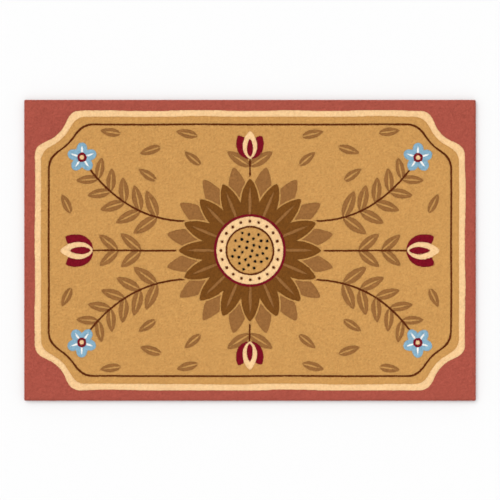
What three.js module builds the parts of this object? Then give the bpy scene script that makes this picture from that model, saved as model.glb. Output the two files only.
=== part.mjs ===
// Plush rug: one rectangular piece of short cut pile on a woven backing, lying flat.
// Millimetres, +Z up. X runs along the long side, Y along the short side.
// The origin is at the centre of the underside, on the floor.
import * as THREE from "three";

// Driving dimensions.
const rugLength = 900;
const rugWidth = 600;
const backingThickness = 2.5;
const pileHeight = 9.5;
const cornerRadius = 2.5;

// The backing is cut this far inside the outermost tufts.
const backingSetIn = 1.5;

// The pile rolls over at the edge: the outer tufts lean out above the backing and
// their tips come down. Each row is one level ring of the rug's outline.
// height is a share of the pile height, setIn is in millimetres from the full outline.
const pileRoll = [
  { height: 0.2, setIn: 0.5 },
  { height: 0.45, setIn: 0 },
  { height: 0.68, setIn: 0.5 },
  { height: 0.85, setIn: 1.8 },
  { height: 0.95, setIn: 3.8 },
  { height: 1, setIn: 7 },
];

// Short straight steps that make one rounded corner.
const cornerSteps = 6;

const pile = new THREE.MeshStandardMaterial({
  name: "tan plush pile",
  color: new THREE.Color("rgb(206, 153, 88)"),
  roughness: 0.95,
  metalness: 0,
});

// The level rings of the rug, from the floor to the face of the pile.
function edgeSections() {
  const backing = [0, backingThickness].map((z) => ({ z, setIn: backingSetIn }));
  const rolled = pileRoll.map(({ height, setIn }) => ({
    z: backingThickness + height * pileHeight,
    setIn,
  }));
  return [...backing, ...rolled];
}

// One ring: the rug's rectangle drawn in by setIn, its cut corners hardly rounded.
// The points run anticlockwise seen from above.
function outlineRing(setIn) {
  const centreX = rugLength / 2 - setIn - cornerRadius;
  const centreY = rugWidth / 2 - setIn - cornerRadius;
  const corners = [
    { x: centreX, y: centreY, start: 0 },
    { x: -centreX, y: centreY, start: Math.PI / 2 },
    { x: -centreX, y: -centreY, start: Math.PI },
    { x: centreX, y: -centreY, start: (3 * Math.PI) / 2 },
  ];
  return corners.flatMap(({ x, y, start }) =>
    Array.from({ length: cornerSteps + 1 }, (_, step) => {
      const angle = start + (step / cornerSteps) * (Math.PI / 2);
      return new THREE.Vector2(
        x + cornerRadius * Math.cos(angle),
        y + cornerRadius * Math.sin(angle),
      );
    }),
  );
}

// A closed solid through the rings: a wall between each two, and a flat face on
// the first and the last.
function ringSolid(sections) {
  const rings = sections.map(({ setIn }) => outlineRing(setIn));
  const count = rings[0].length;
  const positions = rings.flatMap((ring, level) =>
    ring.flatMap((point) => [point.x, point.y, sections[level].z]),
  );
  const faces = [];
  for (let level = 0; level + 1 < rings.length; level += 1) {
    const lower = level * count;
    const upper = lower + count;
    for (let i = 0; i < count; i += 1) {
      const next = (i + 1) % count;
      faces.push(lower + i, lower + next, upper + next);
      faces.push(lower + i, upper + next, upper + i);
    }
  }
  const top = (rings.length - 1) * count;
  for (const [a, b, c] of THREE.ShapeUtils.triangulateShape(rings[0], [])) {
    faces.push(c, b, a);
  }
  for (const [a, b, c] of THREE.ShapeUtils.triangulateShape(rings.at(-1), [])) {
    faces.push(top + a, top + b, top + c);
  }
  const geometry = new THREE.BufferGeometry();
  geometry.setAttribute("position", new THREE.Float32BufferAttribute(positions, 3));
  geometry.setIndex(faces);
  geometry.computeVertexNormals();
  return geometry;
}

const rug = new THREE.Mesh(ringSolid(edgeSections()), pile);
rug.name = "rug";

const plushRug = new THREE.Group();
plushRug.add(rug);

export default plushRug;
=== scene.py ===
"""Plush rug: a flat rectangle of short cut pile on a woven backing, seen from straight above.

The body of the pile is one fine sheet of tufts whose rim rolls down over the edge. Fibres stand out of it
all over. Each tuft and each fibre takes the dye that the design has at its place, and the tufts or fibres of
one dye are pieces of their own. Sizes are in metres.
"""
import math
from typing import NamedTuple

import bmesh
import bpy
import numpy as np
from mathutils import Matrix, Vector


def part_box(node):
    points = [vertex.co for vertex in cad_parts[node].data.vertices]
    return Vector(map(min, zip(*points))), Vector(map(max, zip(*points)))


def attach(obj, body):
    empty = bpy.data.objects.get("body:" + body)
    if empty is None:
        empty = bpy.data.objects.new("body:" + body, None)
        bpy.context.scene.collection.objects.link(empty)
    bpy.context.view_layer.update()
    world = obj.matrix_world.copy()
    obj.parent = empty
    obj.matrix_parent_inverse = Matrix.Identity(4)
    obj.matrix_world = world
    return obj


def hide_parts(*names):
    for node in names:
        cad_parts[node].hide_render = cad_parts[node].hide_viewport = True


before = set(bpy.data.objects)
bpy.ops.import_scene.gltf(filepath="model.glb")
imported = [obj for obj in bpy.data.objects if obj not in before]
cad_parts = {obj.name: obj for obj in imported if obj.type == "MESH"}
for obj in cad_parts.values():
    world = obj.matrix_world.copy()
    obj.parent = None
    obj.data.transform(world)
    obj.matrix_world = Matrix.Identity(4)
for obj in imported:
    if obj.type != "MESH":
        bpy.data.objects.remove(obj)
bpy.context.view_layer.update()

# The rug's size, from its solid
rug_low, rug_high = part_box("rug")
HALF_LENGTH = (rug_high.x - rug_low.x) / 2
HALF_WIDTH = (rug_high.y - rug_low.y) / 2
PILE_TOP = rug_high.z

# The make of the rug, in metres, as in its solid
BACKING_THICKNESS = 0.0025
BACKING_SET_IN = 0.0015
CORNER_RADIUS = 0.0025
CORNER_STEPS = 6


class RollRow(NamedTuple):
    """A level ring of the rolled-over edge: its height as a share of the pile, how far it is drawn in, and
    how deep its tufts are as a share of those on the level face."""
    height: float
    set_in: float
    loft: float


PILE_ROLL = [
    RollRow(1.00, 0.0070, 1.0),
    RollRow(0.95, 0.0038, 1.0),
    RollRow(0.85, 0.0018, 0.9),
    RollRow(0.68, 0.0005, 0.8),
    RollRow(0.45, 0.0000, 0.8),
    RollRow(0.20, 0.0004, 0.6),
    RollRow(-0.20, 0.0004, 0.4),
]

# The power that rounds the pile's corners: 2 is a circle, and more is squarer
CORNER_SQUARENESS = 6

# Tufts, the body of the pile
TUFT_PITCH = 0.0019
TUFT_SHIFT = 0.3  # the most that a tuft strays, as a share of the pitch
TUFT_SINK = 0.0009  # the least depth below the face
TUFT_DEPTH = 0.0010  # how much deeper some are
PARTING_DEPTH = 0.0006  # how much deeper they are where two dyes meet
OUTLINE_SMOOTHING = 6  # how often the line between two dyes is smoothed


class Nap(NamedTuple):
    """Fibres of one part of the pile: their spacing, their width at the root, how far they lean from root to
    tip, how far they scatter about the way they lie, and how far they roll about their length."""
    pitch: float
    width: float
    lean: float
    scatter: float
    roll: float


FACE_NAP = Nap(0.00102, 0.0005, 0.0026, math.radians(25), 0.00012)
RIM_NAP = Nap(0.00078, 0.0005, 0.0034, math.radians(12), 0.0003)

# All fibres: the least lean and root depth are shares of the most
LEAST_LEAN = 0.45
LEAST_ROOT = 0.85
FIBRE_ROOT = 0.0017  # the deepest root
TIP_DEPTH = 0.0005  # the deepest tip
MOST_FIBRES = 190_000  # in one piece
FIBRE_MAP_MARGIN = 0.01

# The nap lies towards the lower side of the design, and sways in slow waves of so many metres to a radian
NAP_TURN = math.radians(-80)
NAP_SWAY = math.radians(22)
NAP_WAVES = (0.11, 0.083, 0.097, 0.13)

# The fibres of the edge hang fully this far past the level part, and end this far inside the hem
DROOP_REACH = 0.008
SKIRT_HEM = 0.0006

# Yarn ends, each of which draws its fibres together, turns them its own way and shares its fleck with them
YARN_PITCH = 0.0028
YARN_PULL = 0.4
YARN_SCATTER = math.radians(38)
YARN_SHARE = 0.5

# Seed of all the chance parts
CHANCE_SEED = 11


class Dye(NamedTuple):
    """A colour of yarn, as eight-bit sRGB, and the name of its slot."""
    shade: tuple
    slot: str


DYES = {
    "ground_red": Dye((174, 85, 70), "pile_red"),
    "rim_tan": Dye((205, 155, 88), "pile_tan"),
    "field_tan": Dye((205, 155, 88), "pile_tan"),
    "cream": Dye((241, 205, 153), "pile_cream"),
    "leaf_brown": Dye((156, 107, 57), "pile_brown"),
    "petal_brown": Dye((122, 74, 23), "pile_dark_brown"),
    "line_brown": Dye((98, 40, 4), "pile_line_brown"),
    "maroon": Dye((125, 5, 29), "pile_maroon"),
    "blue": Dye((140, 178, 198), "pile_blue"),
    "white": Dye((250, 248, 243), "pile_white"),
    "black": Dye((6, 4, 4), "pile_black"),
}
DYE_NAMES = list(DYES)
BACKING_SHADE = (202, 190, 168)

# The design: the waver of its lines, by waves of so many metres to a radian that start at these angles
WAVER_REACH = 0.0006
WAVER_LONG = 0.052
WAVER_SHORT = 0.030
WAVER_SHORT_SHARE = 0.6
WAVER_STARTS = (0.0, 0.8, 2.0, 2.1)

# The design: a panel with hollowed corners, and its bands from the outside in
PANEL_MARGIN = 0.022
CORNER_HOLLOW = 0.066
CORNER_SOFTNESS = 0.026
OUTLINE_BAND = 0.012
RIM_BAND = 0.014
THIN_LINE = 0.0036

# The design: the swell of every leaf and petal, from slim at 1 towards blunt at 0
BLADE_SWELL = 0.7

# The design: the flower in the middle
FLOWER_PETALS = 16
PETAL_FULLNESS = 1.0
EYE_RADIUS = 0.072
EYE_EDGE = 0.005
EYE_RING = 0.018
RING_DOTS = 20
DOT_RADIUS = 0.0034
SEED_COUNT = 30
SEED_SPACING = 0.0073
SEED_START = 0.4
GOLDEN_ANGLE = math.pi * (3 - math.sqrt(5))


class PetalRow(NamedTuple):
    """A ring of petals: their dye, start, end and width, and their turn as a share of a step."""
    dye: str
    root: float
    reach: float
    width: float
    turn: float


PETAL_ROWS = [
    PetalRow("leaf_brown", 0.050, 0.168, 0.040, 0.5),
    PetalRow("field_tan", 0.037, 0.146, 0.043, 0.0),
    PetalRow("petal_brown", 0.040, 0.142, 0.037, 0.0),
    PetalRow("leaf_brown", 0.060, 0.126, 0.006, 0.0),
]

# The design: leaves and small flowers, for the quarter with x and y above 0, mirrored into the others
LEAF_WIDTH_SHARE = 0.40
VEIN_LENGTH_SHARE = 0.86
VEIN_WIDTH = 0.0036


class Spray(NamedTuple):
    """A stem that starts, bends towards and ends at three points. Pairs of leaves stand on it from first to
    last, as shares of its length. They go from first_leaf to last_leaf in length, and spread in degrees."""
    start: tuple
    bend: tuple
    end: tuple
    pairs: int
    first: float
    last: float
    first_leaf: float
    last_leaf: float
    spread: float


SPRAYS = [
    Spray((0.088, 0.060), (0.232, 0.042), (0.324, 0.168), 5, 0.37, 0.895, 0.056, 0.044, 52),
    Spray((0.120, 0.000), (0.220, 0.000), (0.318, 0.000), 2, 0.52, 0.74, 0.052, 0.048, 40),
    Spray((0.000, 0.120), (0.000, 0.150), (0.000, 0.188), 1, 0.72, 0.72, 0.054, 0.054, 58),
]


class Leaf(NamedTuple):
    """A leaf or a closed flower by itself: its foot, the way it points in degrees, and its length."""
    at: tuple
    turn: float
    length: float


LOOSE_LEAVES = [
    Leaf((0.104, 0.226), 14, 0.044),
    Leaf((0.176, 0.206), -18, 0.044),
    Leaf((0.186, 0.138), 34, 0.042),
    Leaf((0.256, 0.232), 8, 0.042),
    Leaf((0.098, 0.168), 40, 0.042),
    Leaf((0.356, 0.074), 64, 0.042),
]
BUDS = [Leaf((0.312, 0.0), 0, 0.066), Leaf((0.0, 0.182), 90, 0.056)]


class BudPetal(NamedTuple):
    """A petal of a closed flower: its foot, length and width, as shares of the flower's length."""
    foot: float
    length: float
    width: float


# The design: the closed flower, whose outer petals are turned aside by these degrees
BUD_SPREAD = 27
BUD_OUTER = BudPetal(0.0, 0.93, 0.54)
BUD_MIDDLE = BudPetal(0.0, 1.0, 0.52)
BUD_HEART = BudPetal(0.06, 0.66, 0.22)

# The design: the open flower, turned by degrees, with the parts of it as shares of its radius
BLOOM_AT = (0.334, 0.184)
BLOOM_PETALS = 5
BLOOM_RADIUS = 0.030
BLOOM_TURN = 18
BLOOM_PETAL_MIDDLE = 0.58
BLOOM_PETAL_HALF_LENGTH = 0.42
BLOOM_PETAL_HALF_WIDTH = 0.36
BLOOM_VEIN_LENGTH = 0.82
BLOOM_VEIN_WIDTH = 0.13
BLOOM_VEIN_FULLNESS = 1.2
BLOOM_EYE = 0.32
BLOOM_HEART = 0.16

# Camera: where the rug's edges lie in the square photograph, in its pixels, and the lens in millimetres
PHOTO_SIDE = 500
RUG_LEFT = 24.0
RUG_RIGHT = 476.0
RUG_UPPER = 99.7
RUG_LOWER = 400.9
LENS = 85
SENSOR = 36

# Studio
FLOOR_HALF_SIZE = 12
FLOOR_SHADE = (0.74, 0.74, 0.74, 1)
WHITE_LIGHT = (1, 1, 1, 1)
SKY_STRENGTH = 0.86
BACKDROP_STRENGTH = 1.0
SUN_STRENGTH = 1.77
SUN_WIDTH = math.radians(50)
SUN_TILT = math.radians(-24)


def linear(shade):
    """Scene-linear red, green, blue and alpha of an eight-bit sRGB shade."""
    parts = [value / 255 for value in shade]
    return (*[v / 12.92 if v <= 0.04045 else ((v + 0.055) / 1.055) ** 2.4 for v in parts], 1)


# Shapes of the design, as masks over the places x, y


def hand_drawn(x, y):
    """The places, shifted a little in slow waves, so that the lines waver as drawn ones do."""
    long_x, short_x, long_y, short_y = WAVER_STARTS
    slow_x = np.sin(x / WAVER_LONG + np.sin(y / WAVER_LONG) + long_x)
    slow_y = np.sin(y / WAVER_LONG + np.sin(x / WAVER_LONG) + long_y)
    dx = WAVER_REACH * (slow_x + WAVER_SHORT_SHARE * np.sin(y / WAVER_SHORT + short_x))
    dy = WAVER_REACH * (slow_y + WAVER_SHORT_SHARE * np.sin(x / WAVER_SHORT + short_y))
    return x + dx, y + dy


def seen_from(x, y, at, turn):
    """Places along and across a direction, turn degrees from X, from the point at."""
    c, s = math.cos(math.radians(turn)), math.sin(math.radians(turn))
    dx, dy = x - at[0], y - at[1]
    return dx * c + dy * s, dy * c - dx * s


def blade(along, across, length, width, fullness=0.85):
    """A leaf or petal from 0 to length, pointed at both ends. A higher fullness is widest further out."""
    share = np.clip(along / length, 0, 1)
    return np.abs(across) < width / 2 * np.sin(np.pi * share**fullness) ** BLADE_SWELL


def curve(start, bend, end, steps=40):
    """Points along a quadratic curve, evenly spaced."""
    t = np.linspace(0, 1, steps)[:, None]
    a, b, c = np.array(start), np.array(bend), np.array(end)
    points = (1 - t) ** 2 * a + 2 * t * (1 - t) * b + t**2 * c
    lengths = np.hypot(*np.diff(points, axis=0).T)
    reached = np.concatenate([[0], np.cumsum(lengths)])
    even = np.linspace(0, reached[-1], steps)
    return np.stack([np.interp(even, reached, axis) for axis in points.T], axis=1)


def distance_to(x, y, points):
    """How far each place is from a line through the points."""
    nearest = np.full(x.shape, np.inf)
    for a, b in zip(points[:-1], points[1:]):
        way = b - a
        share = np.clip(((x - a[0]) * way[0] + (y - a[1]) * way[1]) / (way @ way), 0, 1)
        nearest = np.minimum(nearest, np.hypot(x - a[0] - share * way[0], y - a[1] - share * way[1]))
    return nearest


def within(x, y, at, radius):
    """A round spot."""
    return np.hypot(x - at[0], y - at[1]) < radius


def polar(radius, angle):
    """The place at a radius and an angle from the middle of the rug."""
    return radius * math.cos(angle), radius * math.sin(angle)


def ring_place(number):
    """The place of a dot on the ring round the eye of the flower."""
    return polar(EYE_RADIUS - EYE_EDGE - EYE_RING / 2, 2 * math.pi * number / RING_DOTS)


def seed_place(number):
    """The place of a seed in the eye of the flower: a spiral that fills it evenly."""
    return polar(SEED_SPACING * math.sqrt(number + SEED_START), number * GOLDEN_ANGLE)


class Pattern:
    """The dye of each place of the pile. Later dyes cover earlier ones."""

    def __init__(self, x, y):
        self.x, self.y = hand_drawn(x, y)
        self.mirror_x, self.mirror_y = np.abs(self.x), np.abs(self.y)
        self.dye = np.zeros(x.shape, int)

    def put(self, mask, dye):
        """Dyes the places in the mask."""
        self.dye[mask] = DYE_NAMES.index(dye)

    def panel(self, set_in):
        """The panel drawn in by set_in, its hollowed corners eased into its sides."""
        dx = self.mirror_x - (HALF_LENGTH - PANEL_MARGIN)
        dy = self.mirror_y - (HALF_WIDTH - PANEL_MARGIN)
        side = np.maximum(dx, dy) + set_in
        hollow = CORNER_HOLLOW + set_in - np.hypot(dx, dy)
        ease = np.clip(0.5 + 0.5 * (side - hollow) / CORNER_SOFTNESS, 0, 1)
        return hollow + (side - hollow) * ease + CORNER_SOFTNESS * ease * (1 - ease) < 0

    def leaf(self, at, turn, length):
        """A leaf with a pale vein."""
        along, across = seen_from(self.mirror_x, self.mirror_y, at, turn)
        self.put(blade(along, across, length, length * LEAF_WIDTH_SHARE), "leaf_brown")
        self.put(blade(along, across, length * VEIN_LENGTH_SHARE, VEIN_WIDTH), "field_tan")

    def spray(self, row):
        """Pairs of leaves, and the stem over their feet."""
        stem = curve(row.start, row.bend, row.end)
        for place in np.linspace(0, 1, row.pairs):
            share = row.first + (row.last - row.first) * place
            length = row.first_leaf + (row.last_leaf - row.first_leaf) * place
            step = int(share * (len(stem) - 2))
            way = stem[step + 1] - stem[step]
            turn = math.degrees(math.atan2(way[1], way[0]))
            for side in (1, -1):
                self.leaf(stem[step], turn + side * row.spread, length)
        self.put(distance_to(self.mirror_x, self.mirror_y, stem) < THIN_LINE / 2, "line_brown")

    def bud_petal(self, bud, turn, petal, dye):
        """One petal of a closed flower."""
        along, across = seen_from(self.mirror_x, self.mirror_y, bud.at, turn)
        along = along - petal.foot * bud.length
        self.put(blade(along, across, petal.length * bud.length, petal.width * bud.length), dye)

    def bud(self, row):
        """A closed flower: two outer petals, a middle one and its heart."""
        for turn in (row.turn + BUD_SPREAD, row.turn - BUD_SPREAD):
            self.bud_petal(row, turn, BUD_OUTER, "maroon")
        self.bud_petal(row, row.turn, BUD_MIDDLE, "cream")
        self.bud_petal(row, row.turn, BUD_HEART, "maroon")

    def bloom(self):
        """An open flower of round petals, each with a pale vein."""
        turns = np.arange(BLOOM_PETALS) * 360 / BLOOM_PETALS + BLOOM_TURN
        ways = [seen_from(self.mirror_x, self.mirror_y, BLOOM_AT, turn) for turn in turns]
        for along, across in ways:
            out = (along / BLOOM_RADIUS - BLOOM_PETAL_MIDDLE) / BLOOM_PETAL_HALF_LENGTH
            aside = across / (BLOOM_PETAL_HALF_WIDTH * BLOOM_RADIUS)
            self.put(np.hypot(out, aside) < 1, "blue")
        for along, across in ways:
            length, width = BLOOM_VEIN_LENGTH * BLOOM_RADIUS, BLOOM_VEIN_WIDTH * BLOOM_RADIUS
            self.put(blade(along, across, length, width, BLOOM_VEIN_FULLNESS), "white")
        self.put(within(self.mirror_x, self.mirror_y, BLOOM_AT, BLOOM_EYE * BLOOM_RADIUS), "maroon")
        self.put(within(self.mirror_x, self.mirror_y, BLOOM_AT, BLOOM_HEART * BLOOM_RADIUS), "cream")

    def petal_ring(self, row):
        """One ring of petals of the middle flower."""
        step = 2 * math.pi / FLOWER_PETALS
        angle = (np.arctan2(self.y, self.x) - row.turn * step + step / 2) % step - step / 2
        radius = np.hypot(self.x, self.y)
        along, across = radius * np.cos(angle) - row.root, radius * np.sin(angle)
        self.put(blade(along, across, row.reach - row.root, row.width, PETAL_FULLNESS), row.dye)

    def dots(self, places, dye):
        """Small round spots at the places."""
        for at in places:
            self.put(within(self.x, self.y, at, DOT_RADIUS), dye)

    def middle_flower(self):
        """Rings of petals round an eye of seeds, which has a dotted ring of its own."""
        for row in PETAL_ROWS:
            self.petal_ring(row)
        radius = np.hypot(self.x, self.y)
        heart = EYE_RADIUS - EYE_EDGE - EYE_RING
        self.put(radius < EYE_RADIUS, "maroon")
        self.put(radius < EYE_RADIUS - EYE_EDGE, "cream")
        self.put(radius < heart, "line_brown")
        self.put(radius < heart - THIN_LINE, "field_tan")
        self.dots(map(ring_place, range(RING_DOTS)), "line_brown")
        self.dots(map(seed_place, range(SEED_COUNT)), "black")


def design(x, y):
    """The dye number of each place."""
    pattern = Pattern(x, y)
    pattern.put(pattern.panel(0), "cream")
    pattern.put(pattern.panel(OUTLINE_BAND), "rim_tan")
    pattern.put(pattern.panel(OUTLINE_BAND + RIM_BAND), "line_brown")
    pattern.put(pattern.panel(OUTLINE_BAND + RIM_BAND + THIN_LINE), "field_tan")
    for row in SPRAYS:
        pattern.spray(row)
    for row in LOOSE_LEAVES:
        pattern.leaf(*row)
    for row in BUDS:
        pattern.bud(row)
    pattern.bloom()
    pattern.middle_flower()
    return pattern.dye


# The face of the pile


class Roll:
    """The edge's section, measured along the pile from the level part outwards."""

    def __init__(self):
        level = PILE_ROLL[0].set_in
        pile = PILE_TOP - BACKING_THICKNESS
        self.core = np.array([HALF_LENGTH, HALF_WIDTH]) - level
        self.out = np.array([level - row.set_in for row in PILE_ROLL])
        self.height = np.array([BACKING_THICKNESS + row.height * pile for row in PILE_ROLL])
        self.loft = np.array([row.loft for row in PILE_ROLL])
        steps = np.hypot(np.diff(self.out), np.diff(self.height))
        self.along = np.concatenate([[0], np.cumsum(steps)])
        self.size = 2 * (self.core + self.along[-1])
        self.slope_out = np.gradient(self.out, self.along)
        self.slope_up = np.gradient(self.height, self.along)

    def read(self, along):
        """How far out and how high the pile is, and its outward normal there as out and up."""
        parts = (self.out, self.height, self.slope_out, self.slope_up)
        out, height, slope_out, slope_up = [np.interp(along, self.along, part) for part in parts]
        level = along <= 0
        size = np.hypot(slope_out, slope_up)
        return out, height, np.where(level, 0, -slope_up / size), np.where(level, 1, slope_out / size)

    def past(self, flat):
        """How far places of an unrolled sheet lie past the level part, along X and along Y."""
        return np.maximum(np.abs(flat) - self.core, 0)

    def lay(self, flat, depth):
        """Places of an unrolled sheet on the rug, sunk by depth below the face of the pile."""
        least_reach = 1e-9
        past = self.past(flat)
        reach = (past**CORNER_SQUARENESS).sum(axis=1) ** (1 / CORNER_SQUARENESS)
        way = past / np.maximum(reach, least_reach)[:, None] * np.sign(flat)
        along = past.max(axis=1)
        out, height, normal_out, normal_up = self.read(along)
        sunk = depth * np.interp(along, self.along, self.loft)
        place = np.clip(flat, -self.core, self.core) + way * (out - normal_out * sunk)[:, None]
        return np.column_stack([place, height - normal_up * sunk])


ROLL = Roll()


# Meshes


def numbers(items, name, width=1, kind=np.float32):
    """One property of all the items as an array."""
    found = np.empty(len(items) * width, kind)
    items.foreach_get(name, found)
    return found.reshape(-1, width) if width > 1 else found


def finished(bm, name):
    """The bmesh as a mesh."""
    mesh = bpy.data.meshes.new(name)
    bm.to_mesh(mesh)
    bm.free()
    return mesh


def add_values(mesh, name, values):
    """A number for each point, which the materials read."""
    mesh.attributes.new(name, "FLOAT", "POINT").data.foreach_set("value", values.astype(np.float32))


def add_map(mesh, places):
    """The piece's own map, one place for each corner of a face."""
    mesh.uv_layers.new(name="OFBake").data.foreach_set("uv", places.astype(np.float32).ravel())


def add_piece(name, mesh):
    """A new piece at the origin, with its place in its mesh."""
    piece = bpy.data.objects.new(name, mesh)
    bpy.context.scene.collection.objects.link(piece)
    return piece


# Tufts


def parted_edges(mesh, dye):
    """The pairs of points between tufts of two dyes."""
    lowest = np.full(len(mesh.edges), len(DYES))
    highest = np.zeros(len(mesh.edges), int)
    edge = numbers(mesh.loops, "edge_index", kind=np.int32)
    own = np.repeat(dye, numbers(mesh.polygons, "loop_total", kind=np.int32))
    np.minimum.at(lowest, edge, own)
    np.maximum.at(highest, edge, own)
    return numbers(mesh.edges, "vertices", 2, np.int32)[lowest != highest]


def smooth_outlines(flat, pairs):
    """Draws the points between two dyes into smooth lines. Points where three dyes meet stay."""
    start, end = np.concatenate([pairs, pairs[:, ::-1]]).T
    on_line = np.bincount(start, minlength=len(flat)) == 2
    for _ in range(OUTLINE_SMOOTHING):
        both = np.stack([np.bincount(start, flat[end, axis], len(flat)) for axis in (0, 1)], axis=1)
        flat[on_line] = (flat[on_line] + both[on_line] / 2) / 2
    return flat


def tuft_grid():
    """A sheet one metre square with a face for each tuft of the pile."""
    cells = np.round(ROLL.size / TUFT_PITCH).astype(int)
    bm = bmesh.new()
    bmesh.ops.create_grid(bm, x_segments=int(cells[0]), y_segments=int(cells[1]), size=0.5)
    return finished(bm, "pile")


def whole_pile(chance):
    """All tufts as one mesh, with each face's dye as its material number."""
    mesh = tuft_grid()
    flat = numbers(mesh.vertices, "co", 3).astype(float)[:, :2] * ROLL.size
    inner = np.all(np.abs(flat) < ROLL.size / 2 - TUFT_PITCH / 2, axis=1)
    flat[inner] += chance.uniform(-TUFT_SHIFT, TUFT_SHIFT, flat.shape)[inner] * TUFT_PITCH
    corners = numbers(mesh.loops, "vertex_index", kind=np.int32).reshape(-1, 4)
    dye = design(*flat[corners].mean(axis=1).T)
    mesh.polygons.foreach_set("material_index", dye.astype(np.int32))
    pairs = parted_edges(mesh, dye)
    flat = smooth_outlines(flat, pairs)
    depth = TUFT_SINK + TUFT_DEPTH * chance.random(len(flat))
    depth[np.unique(pairs)] += PARTING_DEPTH
    mesh.vertices.foreach_set("co", ROLL.lay(flat, depth).astype(np.float32).ravel())
    add_values(mesh, "tuft", chance.random(len(flat)))
    # The material paints shade by this depth: deeper tufts are darker
    add_values(mesh, "depth", depth / FIBRE_ROOT)
    add_map(mesh, (flat / ROLL.size + 0.5)[corners.ravel()])
    mesh.update()
    return mesh


def fill_map(mesh):
    """Stretches the piece's map over the whole square."""
    layer = mesh.uv_layers["OFBake"].data
    places = numbers(layer, "uv", 2)
    low, high = places.min(axis=0), places.max(axis=0)
    layer.foreach_set("uv", ((places - low) / (high - low)).ravel())


def tuft_piece(pile, number):
    """The tufts of one dye, cut out of the whole pile."""
    bm = bmesh.new()
    bm.from_mesh(pile)
    others = [face for face in bm.faces if face.material_index != number]
    bmesh.ops.delete(bm, geom=others, context="FACES")
    for face in bm.faces:
        face.material_index = 0
        face.smooth = True
    name = "pile_" + DYE_NAMES[number]
    mesh = finished(bm, name)
    fill_map(mesh)
    return add_piece(name, mesh)


# Fibres


class Yarns:
    """The yarn ends of the pile, one in each cell of a grid over the unrolled pile."""

    def __init__(self, chance):
        self.cells = np.ceil(ROLL.size / YARN_PITCH).astype(int) + 1
        count = self.cells.prod()
        self.place = chance.random((count, 2))
        self.turn = YARN_SCATTER * chance.standard_normal(count)
        self.number = chance.random(count)

    def own(self, flat):
        """Which yarn end each place belongs to."""
        across, up = np.floor(flat / YARN_PITCH + self.cells / 2).astype(int).T
        return across * self.cells[1] + up

    def heart(self, own):
        """The middles of those yarn ends."""
        cell = np.stack(np.divmod(own, self.cells[1]), axis=1)
        return (cell + self.place[own] - self.cells / 2) * YARN_PITCH


class Fibres(NamedTuple):
    """Standing fibres, one to a row: root, tip, width, roll about its length, its own number from 0 to 1, how
    deep its root and tip are, and its dye."""
    root: np.ndarray
    tip: np.ndarray
    width: np.ndarray
    roll: np.ndarray
    number: np.ndarray
    root_depth: np.ndarray
    tip_depth: np.ndarray
    dye: np.ndarray


def scattered(pitch, chance):
    """One place at random in each cell of a grid over the unrolled pile, as far as its hem."""
    cells = np.round((ROLL.size - 2 * SKIRT_HEM) / pitch).astype(int)
    steps = np.stack(np.meshgrid(*[np.arange(count) for count in cells]), axis=-1).reshape(-1, 2)
    return (steps + chance.random(steps.shape) - cells / 2) * pitch


def nap_turn(x, y):
    """The way that the nap lies, which sways slowly over the rug."""
    along, along_bend, up, up_bend = NAP_WAVES
    sway = np.sin(x / along + np.sin(y / along_bend)) * np.sin(y / up + np.sin(x / up_bend))
    return NAP_TURN + NAP_SWAY * sway


def mixed(first, second, share):
    """A share of the way from the first to the second."""
    return first + (second - first) * share


def standing(yarns, middle, turn, nap, chance):
    """Fibres at the places, lying the way they are turned, with their chance parts."""
    count = len(middle)
    own = yarns.own(middle)
    turn = turn + nap.scatter * chance.standard_normal(count) + yarns.turn[own]
    half = np.stack([np.cos(turn), np.sin(turn)], axis=1) / 2
    half *= (nap.lean * chance.uniform(LEAST_LEAN, 1, count))[:, None]
    return Fibres(
        root=middle - half,
        tip=mixed(middle, yarns.heart(own), YARN_PULL) + half,
        width=np.broadcast_to(nap.width, count),
        roll=nap.roll * chance.uniform(-1, 1, count),
        number=mixed(chance.random(count), yarns.number[own], YARN_SHARE),
        root_depth=FIBRE_ROOT * chance.uniform(LEAST_ROOT, 1, count),
        tip_depth=TIP_DEPTH * chance.random(count),
        dye=design(*middle.T),
    )


def face_fibres(yarns, chance):
    """The level face: fibres lean with the nap."""
    places = scattered(FACE_NAP.pitch, chance)
    middle = places[~ROLL.past(places).any(axis=1)]
    return standing(yarns, middle, nap_turn(*middle.T), FACE_NAP, chance)


def rim_fibres(yarns, chance):
    """The rolled-over edge: the further down, the more the fibres hang, and the closer they are."""
    places = scattered(RIM_NAP.pitch, chance)
    droop = np.clip(ROLL.past(places).max(axis=1) / DROOP_REACH, 0, 1)
    crowding = mixed((RIM_NAP.pitch / FACE_NAP.pitch) ** 2, 1, droop)
    kept = (droop > 0) & (chance.random(len(places)) < crowding)
    middle, droop = places[kept], droop[kept]
    out = ROLL.past(middle) * np.sign(middle)
    out_x, out_y = (out / np.hypot(*out.T)[:, None]).T
    level = nap_turn(*middle.T)
    turn = np.arctan2(mixed(np.sin(level), out_y, droop), mixed(np.cos(level), out_x, droop))
    nap = Nap(*[mixed(face, rim, droop) for face, rim in zip(FACE_NAP, RIM_NAP)])
    return standing(yarns, middle, turn, nap, chance)


def all_fibres(chance):
    """The fibres of the face and then those of the edge."""
    yarns = Yarns(chance)
    face = face_fibres(yarns, chance)
    rim = rim_fibres(yarns, chance)
    return Fibres(*[np.concatenate(columns) for columns in zip(face, rim)])


def strand_map(number):
    """Each fibre upright on the map, in the place that its own number gives it."""
    margin = FIBRE_MAP_MARGIN
    place = margin + (1 - 2 * margin) * number
    across = np.stack([place - margin / 2, place + margin / 2, place], axis=1)
    up = np.broadcast_to([margin, margin, 1 - margin], across.shape)
    return np.stack([across, up], axis=-1)


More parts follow.
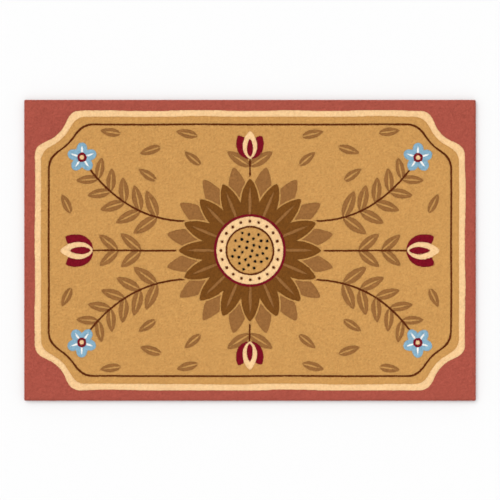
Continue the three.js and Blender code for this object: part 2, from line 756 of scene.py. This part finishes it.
def fibre_piece(name, own):
    """Fibres as slim blades, each from its root to its tip."""
    along = own.tip - own.root
    side = np.stack([-along[:, 1], along[:, 0]], axis=1) * (own.width / 2 / np.hypot(*along.T))[:, None]
    left = ROLL.lay(own.root + side, own.root_depth + own.roll)
    right = ROLL.lay(own.root - side, own.root_depth - own.roll)
    tip = ROLL.lay(own.tip, own.tip_depth)
    count = len(tip)
    mesh = bpy.data.meshes.new(name)
    mesh.vertices.add(3 * count)
    mesh.vertices.foreach_set("co", np.stack([left, right, tip], axis=1).astype(np.float32).ravel())
    mesh.loops.add(3 * count)
    mesh.loops.foreach_set("vertex_index", np.arange(3 * count, dtype=np.int32))
    mesh.polygons.add(count)
    mesh.polygons.foreach_set("loop_start", np.arange(0, 3 * count, 3, dtype=np.int32))
    mesh.update(calc_edges=True)
    add_values(mesh, "tuft", np.repeat(own.number, 3))
    # The material paints shade by this depth: each fibre is darker at its root than at its tip
    depth = np.stack([own.root_depth, own.root_depth, own.tip_depth], axis=1) / FIBRE_ROOT
    add_values(mesh, "depth", depth.ravel())
    add_map(mesh, strand_map(own.number))
    return add_piece(name, mesh)


def fibre_pieces(fibres, number):
    """The fibres of one dye, in as many pieces as their count asks for."""
    rows = np.flatnonzero(fibres.dye == number)
    parts = np.array_split(rows, math.ceil(len(rows) / MOST_FIBRES))
    name = "nap_" + DYE_NAMES[number]
    names = [name] if len(parts) == 1 else [f"{name}_{place + 1}" for place in range(len(parts))]
    pieces = []
    for part_name, part in zip(names, parts):
        own = Fibres(*[column[part] for column in fibres])
        pieces.append(fibre_piece(part_name, own))
    return pieces


# Materials


class Tree:
    """A node tree with short ways to add and join its nodes."""

    def __init__(self, tree):
        self.tree = tree

    def add(self, kind, settings=(), **inputs):
        """A new node with its settings and inputs. An underscore stands for a space in an input's name."""
        node = self.tree.nodes.new(kind)
        for name, value in dict(settings).items():
            setattr(node, name, value)
        for name, value in inputs.items():
            self.feed(node.inputs[name.replace("_", " ")], value)
        return node

    def feed(self, socket, value):
        """Gives a socket a value, or joins it to another socket."""
        if isinstance(value, bpy.types.NodeSocket):
            self.tree.links.new(value, socket)
        else:
            socket.default_value = value

    def maths(self, operation, *values):
        """What a new Math node makes of the values."""
        node = self.add("ShaderNodeMath", {"operation": operation})
        for socket, value in zip(node.inputs, values):
            self.feed(socket, value)
        return node.outputs[0]


def new_material(name):
    """An empty material and its node tree."""
    material = bpy.data.materials.new(name)
    material.use_nodes = True
    material.node_tree.nodes.clear()
    return material, Tree(material.node_tree)


def plush_group():
    """Yarn colour and fibre height of cut pile: painted shade in its depth, flecks on tufts, slow painted nap
    shade.
    """
    fibre_scale = 1300
    nap_scale = 9
    fleck_share = 0.14
    fibre_share = 0.10
    nap_shade_share = 0.05
    depth_shade_share = 0.12
    least_roughness = 0.84
    roughness_share = 0.12
    group = bpy.data.node_groups.new("plush_pile", "ShaderNodeTree")
    for name, kind, way in [
        ("Place", "NodeSocketVector", "INPUT"),
        ("Dye", "NodeSocketColor", "INPUT"),
        ("Tuft", "NodeSocketFloat", "INPUT"),
        ("Depth", "NodeSocketFloat", "INPUT"),
        ("Colour", "NodeSocketColor", "OUTPUT"),
        ("Roughness", "NodeSocketFloat", "OUTPUT"),
        ("Height", "NodeSocketFloat", "OUTPUT"),
    ]:
        group.interface.new_socket(name, socket_type=kind, in_out=way)
    tree = Tree(group)
    given = tree.add("NodeGroupInput").outputs
    made = tree.add("NodeGroupOutput")
    fibre = tree.add("ShaderNodeTexNoise", Vector=given["Place"], Scale=fibre_scale, Detail=2.0).outputs[0]
    nap = tree.add("ShaderNodeTexNoise", Vector=given["Place"], Scale=nap_scale, Detail=3.0).outputs[0]
    plain = 1 - (fleck_share + fibre_share + nap_shade_share) / 2
    value = tree.maths("MULTIPLY_ADD", given["Tuft"], fleck_share, plain)
    value = tree.maths("MULTIPLY_ADD", fibre, fibre_share, value)
    # Painted shade of the nap: slow lighter and darker patches, as where the pile is brushed different ways
    value = tree.maths("MULTIPLY_ADD", nap, nap_shade_share, value)
    # Painted shade: the deeper in the pile, the darker
    value = tree.maths("MULTIPLY_ADD", given["Depth"], -depth_shade_share, value)
    shade = tree.add("ShaderNodeHueSaturation", Color=given["Dye"], Value=value)
    roughness = tree.maths("MULTIPLY_ADD", fibre, roughness_share, least_roughness)
    tree.feed(made.inputs["Colour"], shade.outputs[0])
    tree.feed(made.inputs["Roughness"], roughness)
    tree.feed(made.inputs["Height"], fibre)
    return group


def plush_material(name, dye, group, bumpy):
    """Matt yarn of one dye. Tufts have fibres as bump, and fibres are smooth."""
    material, tree = new_material(name)
    place = tree.add("ShaderNodeTexCoord").outputs["Object"]
    tuft = tree.add("ShaderNodeAttribute", {"attribute_name": "tuft"}).outputs["Fac"]
    depth = tree.add("ShaderNodeAttribute", {"attribute_name": "depth"}).outputs["Fac"]
    pile = tree.add("ShaderNodeGroup", {"node_tree": group}, Place=place, Tuft=tuft, Depth=depth)
    pile.inputs["Dye"].default_value = linear(dye.shade)
    shader = tree.add(
        "ShaderNodeBsdfPrincipled",
        Base_Color=pile.outputs["Colour"],
        Roughness=pile.outputs["Roughness"],
        Specular_IOR_Level=0.15,
        Sheen_Weight=0.2,
        Sheen_Roughness=0.5,
        Sheen_Tint=linear(dye.shade),
    )
    if bumpy:
        bump = tree.add("ShaderNodeBump", Height=pile.outputs["Height"], Strength=0.5, Distance=0.0006)
        tree.feed(shader.inputs["Normal"], bump.outputs[0])
    tree.add("ShaderNodeOutputMaterial", Surface=shader.outputs[0])
    return material


def thread_shades(tree, place, stretch):
    """Shades that change quickly from thread to thread, and slowly along each."""
    stretched = tree.add("ShaderNodeMapping", Vector=place, Scale=stretch).outputs[0]
    noise = tree.add("ShaderNodeTexNoise", Vector=stretched, Scale=1.0, Detail=4.0, Roughness=0.65)
    return noise.outputs[0]


def plain_weave(tree, place):
    """Height and shade of threads over and under each other, the warp along Y and the weft along X."""
    thread_pitch = 0.0034
    end_power = 0.15
    # Shades to a metre, across the threads and along them
    shades_across = 210
    shades_along = 14
    x, y, _ = tree.add("ShaderNodeSeparateXYZ", Vector=place).outputs
    wave_x = tree.maths("SINE", tree.maths("MULTIPLY", x, math.pi / thread_pitch))
    wave_y = tree.maths("SINE", tree.maths("MULTIPLY", y, math.pi / thread_pitch))
    warp_over = tree.maths("GREATER_THAN", tree.maths("MULTIPLY", wave_x, wave_y), 0.0)
    # The upper thread is round across its length, and flat along it but for its ends
    power_x = tree.maths("MULTIPLY_ADD", warp_over, 1 - end_power, end_power)
    power_y = tree.maths("MULTIPLY_ADD", warp_over, end_power - 1, 1.0)
    round_x = tree.maths("POWER", tree.maths("ABSOLUTE", wave_x), power_x)
    round_y = tree.maths("POWER", tree.maths("ABSOLUTE", wave_y), power_y)
    warp = thread_shades(tree, place, (shades_across, shades_along, 1))
    weft = thread_shades(tree, place, (shades_along, shades_across, 1))
    upper = tree.add("ShaderNodeMix", Factor=warp_over, A=weft, B=warp).outputs[0]
    return tree.maths("MULTIPLY", round_x, round_y), upper


def backing_material():
    """Undyed canvas: its threads as bump, in many shades, with painted shade in the hollows between them."""
    painted_hollow_shade = 0.58
    painted_shade_share = 0.55
    thread_share = 0.80
    material, tree = new_material("woven_backing")
    place = tree.add("ShaderNodeTexCoord").outputs["Object"]
    height, upper = plain_weave(tree, place)
    # Painted shade: darker in the hollows between the threads, lighter on their tops
    value = tree.maths("MULTIPLY_ADD", height, painted_shade_share, painted_hollow_shade - thread_share / 2)
    value = tree.maths("MULTIPLY_ADD", upper, thread_share, value)
    shade = tree.add("ShaderNodeHueSaturation", Color=linear(BACKING_SHADE), Value=value)
    bump = tree.add("ShaderNodeBump", Height=height, Strength=0.8, Distance=0.0008)
    shader = tree.add(
        "ShaderNodeBsdfPrincipled",
        Base_Color=shade.outputs[0],
        Roughness=0.9,
        Normal=bump.outputs[0],
    )
    tree.add("ShaderNodeOutputMaterial", Surface=shader.outputs[0])
    return material


# The rug's pieces


def backing_piece():
    """The woven backing: a rectangle with rounded corners, drawn up to its thickness."""
    bm = bmesh.new()
    bmesh.ops.create_grid(bm, x_segments=1, y_segments=1, size=1)
    half = (HALF_LENGTH - BACKING_SET_IN, HALF_WIDTH - BACKING_SET_IN, 1)
    bmesh.ops.scale(bm, vec=half, verts=bm.verts)
    bmesh.ops.bevel(
        bm,
        geom=bm.verts[:],
        offset=CORNER_RADIUS,
        affect="VERTICES",
        segments=CORNER_STEPS,
        profile=0.5,
        material=-1,
    )
    raised = bmesh.ops.extrude_face_region(bm, geom=bm.faces[:])["geom"]
    upper = [part for part in raised if isinstance(part, bmesh.types.BMVert)]
    bmesh.ops.translate(bm, vec=(0, 0, BACKING_THICKNESS), verts=upper)
    bmesh.ops.recalc_face_normals(bm, faces=bm.faces)
    backing = add_piece("backing", finished(bm, "backing"))
    backing.data.materials.append(backing_material())
    return backing


def pile_pieces():
    """The tufts and the fibres of every dye, in their yarn."""
    chance = np.random.default_rng(CHANCE_SEED)
    group = plush_group()
    pile = whole_pile(chance)
    fibres = all_fibres(chance)
    pieces = []
    for number, (name, dye) in enumerate(DYES.items()):
        tufts = tuft_piece(pile, number)
        tufts.data.materials.append(plush_material("tufts_" + name, dye, group, bumpy=True))
        naps = fibre_pieces(fibres, number)
        fibre_material = plush_material("fibres_" + name, dye, group, bumpy=False)
        for nap in naps:
            nap.data.materials.append(fibre_material)
        for piece in (tufts, *naps):
            pieces.append(piece)
    bpy.data.meshes.remove(pile)
    return pieces


def build_rug():
    """All pieces, on the rug's one body and in place of its solid."""
    backing = backing_piece()
    pieces = pile_pieces()
    for piece in [backing, *pieces]:
        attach(piece, "root")
        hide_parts("rug")


# The studio


def place_camera():
    """Straight above the rug, at the photograph's framing."""
    metres = 2 * HALF_LENGTH / (RUG_RIGHT - RUG_LEFT)
    right = (RUG_LEFT + RUG_RIGHT - PHOTO_SIDE) / 2 * metres
    down = (RUG_UPPER + RUG_LOWER - PHOTO_SIDE) / 2 * metres
    data = bpy.data.cameras.new("camera")
    data.lens = LENS
    data.sensor_width = SENSOR
    camera = bpy.data.objects.new("camera", data)
    camera.location = (-right, down, PILE_TOP / 2 + PHOTO_SIDE * metres * LENS / SENSOR)
    bpy.context.scene.collection.objects.link(camera)
    bpy.context.scene.camera = camera


def lay_floor():
    """A plain pale floor."""
    material, tree = new_material("pale_floor")
    shader = tree.add("ShaderNodeBsdfPrincipled", Base_Color=FLOOR_SHADE, Roughness=0.9)
    tree.add("ShaderNodeOutputMaterial", Surface=shader.outputs[0])
    bm = bmesh.new()
    bmesh.ops.create_grid(bm, x_segments=1, y_segments=1, size=FLOOR_HALF_SIZE)
    mesh = finished(bm, "floor")
    mesh.materials.append(material)
    add_piece("floor", mesh)


def light_all_round():
    """Even light from all sides, before a white backdrop."""
    world = bpy.data.worlds.new("studio")
    world.use_nodes = True
    world.node_tree.nodes.clear()
    tree = Tree(world.node_tree)
    around = tree.add("ShaderNodeBackground", Color=WHITE_LIGHT, Strength=SKY_STRENGTH)
    backdrop = tree.add("ShaderNodeBackground", Color=WHITE_LIGHT, Strength=BACKDROP_STRENGTH)
    seen = tree.add("ShaderNodeLightPath").outputs["Is Camera Ray"]
    either = tree.add("ShaderNodeMixShader", Fac=seen)
    tree.feed(either.inputs[1], around.outputs[0])
    tree.feed(either.inputs[2], backdrop.outputs[0])
    tree.add("ShaderNodeOutputWorld", Surface=either.outputs[0])
    bpy.context.scene.world = world
    bpy.context.scene.view_settings.view_transform = "Standard"


def hang_sun():
    """A wide soft sun from the upper left."""
    data = bpy.data.lights.new("soft_sun", "SUN")
    data.energy = SUN_STRENGTH
    data.angle = SUN_WIDTH
    sun = bpy.data.objects.new("soft_sun", data)
    sun.rotation_euler = (SUN_TILT, SUN_TILT, 0)
    bpy.context.scene.collection.objects.link(sun)


place_camera()
lay_floor()
light_all_round()
hang_sun()
build_rug()
